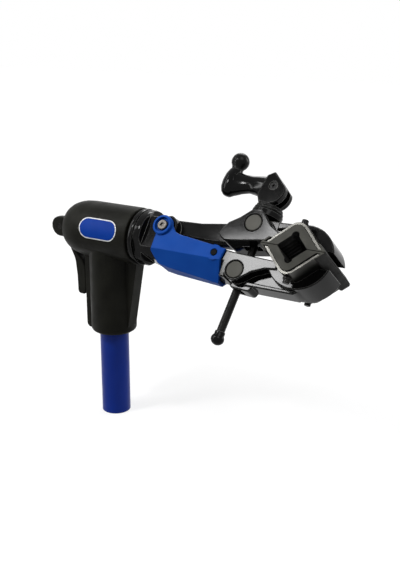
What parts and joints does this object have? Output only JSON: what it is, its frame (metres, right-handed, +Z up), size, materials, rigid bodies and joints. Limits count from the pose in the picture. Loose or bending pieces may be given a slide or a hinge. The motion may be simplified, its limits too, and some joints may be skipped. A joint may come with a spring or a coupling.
{
  "type": "bike repair stand head",
  "caption": "Top of a bike repair stand: post, swivel head with a lock lever, and a long pivoting clamp whose padded V jaws are set by a screw with a cam crank.",
  "frame": {"origin": "centre of the post's square-cut lower end", "axes": "+Z up along the post, +X along the head's barrel towards the jaws, +Y away from the side the picture was taken from"},
  "size_m": [0.3982, 0.1494, 0.3534],
  "materials": {
    "post_paint": "gloss blue paint",
    "composite": "fine-grained matte black moulding",
    "black_coat": "gloss black powder coat",
    "satin_coat": "satin dark grey coat",
    "cover_plastic": "satin blue moulding",
    "rubber": "matte dark grey rubber",
    "steel": "machined steel",
    "black_steel": "blackened steel",
    "bronze": "sintered bronze"
  },
  "bodies": {
    "head": {"post_tube": "post_paint", "head_casting": "composite", "post_screw_low": "black_steel", "post_screw_high": "black_steel", "front_bush": "bronze", "rear_bush": "bronze", "lever_pin": "steel"},
    "clamp": {"friction_ring": "black_coat", "spindle": "steel", "spindle_washer": "steel", "spindle_nut": "steel", "fixed_arm": "black_coat", "pivot_bolt": "steel", "pivot_nut": "steel", "arm_cover": "cover_plastic", "cover_screw_near": "black_steel", "cover_screw_far": "black_steel", "lower_jaw_plate": "black_coat", "lower_jaw_pad": "rubber", "lower_pad_screw_near": "black_steel", "lower_pad_screw_far": "black_steel"},
    "upper_arm": {"moving_arm": "satin_coat", "pivot_bush": "bronze", "upper_jaw_plate": "black_coat", "upper_jaw_pad": "rubber", "upper_pad_screw_near": "black_steel", "upper_pad_screw_far": "black_steel"},
    "upper_swivel": {"upper_trunnion": "steel", "thrust_saddle": "black_coat", "lower_washer": "black_coat"},
    "lower_swivel": {"lower_trunnion": "steel"},
    "screw": {"adjust_screw": "black_steel", "screw_end_stop": "black_coat", "upper_washer": "black_coat"},
    "crank": {"crank_cam": "black_coat", "cam_pin": "steel", "knob_stud": "steel"},
    "knob": {"crank_knob": "composite"},
    "lock": {"lock_lever": "composite"},
    "plunger": {"brake_plunger": "steel"}
  },
  "joints": [
    {"name": "clamp_turn", "type": "hinge", "parent": "head", "child": "clamp", "pos_m": [0, 0, 0.249], "axis": [1, 0, 0], "continuous": true},
    {"name": "arm_open", "type": "hinge", "parent": "clamp", "child": "upper_arm", "pos_m": [0.092, 0.00531, 0.25627], "axis": [0, -0.8073, 0.5902], "range_deg": [0, 23.01]},
    {"name": "upper_swivel_turn", "type": "hinge", "parent": "upper_arm", "child": "upper_swivel", "pos_m": [0.20591, 0.01826, 0.27397], "axis": [0, -0.8073, 0.5902], "range_deg": [-11.51, 0]},
    {"name": "lower_swivel_turn", "type": "hinge", "parent": "clamp", "child": "lower_swivel", "pos_m": [0.20188, -0.01664, 0.22624], "axis": [0, -0.8073, 0.5902], "range_deg": [0, 11.51]},
    {"name": "screw_turn", "type": "hinge", "parent": "upper_swivel", "child": "screw", "pos_m": [0.20591, 0.01826, 0.27397], "axis": [0.068, 0.5888, 0.8054], "range_deg": [0, 2520]},
    {"name": "cam_flip", "type": "hinge", "parent": "screw", "child": "crank", "pos_m": [0.20953, 0.04958, 0.31682], "axis": [0, 0.8073, -0.5902], "range_deg": [0, 90]},
    {"name": "knob_spin", "type": "hinge", "parent": "crank", "child": "knob", "pos_m": [0.14717, 0.05209, 0.32025], "axis": [0.068, 0.5888, 0.8054], "continuous": true},
    {"name": "lock_swing", "type": "hinge", "parent": "head", "child": "lock", "pos_m": [-0.074, 0, 0.249], "axis": [0, 1, 0], "range_deg": [0, 100]},
    {"name": "plunger_press", "type": "slide", "parent": "head", "child": "plunger", "axis": [1, 0, 0], "range_m": [-0.00151, 0]}
  ],
  "couplings": [
    {"joint": "arm_open", "follows": "screw_turn", "ratio": 0.009127},
    {"joint": "upper_swivel_turn", "follows": "screw_turn", "ratio": -0.0045635},
    {"joint": "lower_swivel_turn", "follows": "screw_turn", "ratio": 0.0045635},
    {"joint": "plunger_press", "follows": "lock_swing", "m_per_rad": -0.00085944}
  ]
}
